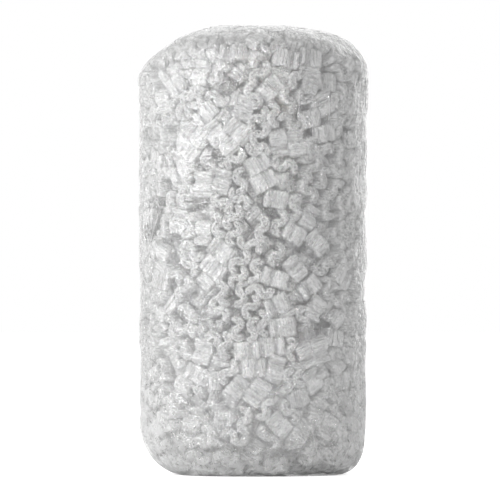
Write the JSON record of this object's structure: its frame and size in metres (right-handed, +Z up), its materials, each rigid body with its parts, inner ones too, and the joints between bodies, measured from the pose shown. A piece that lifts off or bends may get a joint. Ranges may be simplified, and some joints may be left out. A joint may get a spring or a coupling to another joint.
{
  "type": "packing peanut bag",
  "caption": "Tall clear film bag packed full with white S-shaped foam packing peanuts, standing on its flat base.",
  "frame": {"origin": "middle of the flat base, on the surface that the bag stands on", "axes": "+Z up the height of the bag, +X to its right, -Y its front; the weld fin and the vent holes face +Y"},
  "size_m": [0.3159, 0.3036, 0.6101],
  "materials": {
    "film": "clear film",
    "foam": "white expanded foam"
  },
  "bodies": {
    "root": {"film_bag": "film", "peanut_fill": "foam", "peanut_01": "foam", "peanut_02": "foam", "peanut_03": "foam", "peanut_04": "foam", "peanut_05": "foam", "peanut_06": "foam", "peanut_07": "foam", "peanut_08": "foam", "peanut_09": "foam", "peanut_10": "foam", "peanut_11": "foam", "peanut_12": "foam", "peanut_13": "foam", "peanut_14": "foam", "peanut_15": "foam", "peanut_16": "foam", "peanut_17": "foam", "peanut_18": "foam", "peanut_19": "foam", "peanut_20": "foam", "peanut_21": "foam", "peanut_22": "foam", "peanut_23": "foam", "peanut_24": "foam", "peanut_25": "foam", "peanut_26": "foam", "peanut_27": "foam", "peanut_28": "foam", "peanut_29": "foam", "peanut_30": "foam", "peanut_31": "foam", "peanut_32": "foam", "peanut_33": "foam", "peanut_34": "foam", "peanut_35": "foam", "peanut_36": "foam", "peanut_37": "foam", "peanut_38": "foam", "peanut_39": "foam", "peanut_40": "foam", "peanut_41": "foam", "peanut_42": "foam", "peanut_43": "foam", "peanut_44": "foam", "peanut_45": "foam", "peanut_46": "foam", "peanut_47": "foam", "peanut_48": "foam", "peanut_49": "foam", "peanut_50": "foam", "peanut_51": "foam", "peanut_52": "foam", "peanut_53": "foam", "peanut_54": "foam", "peanut_55": "foam", "peanut_56": "foam", "peanut_57": "foam", "peanut_58": "foam"}
  },
  "joints": []
}
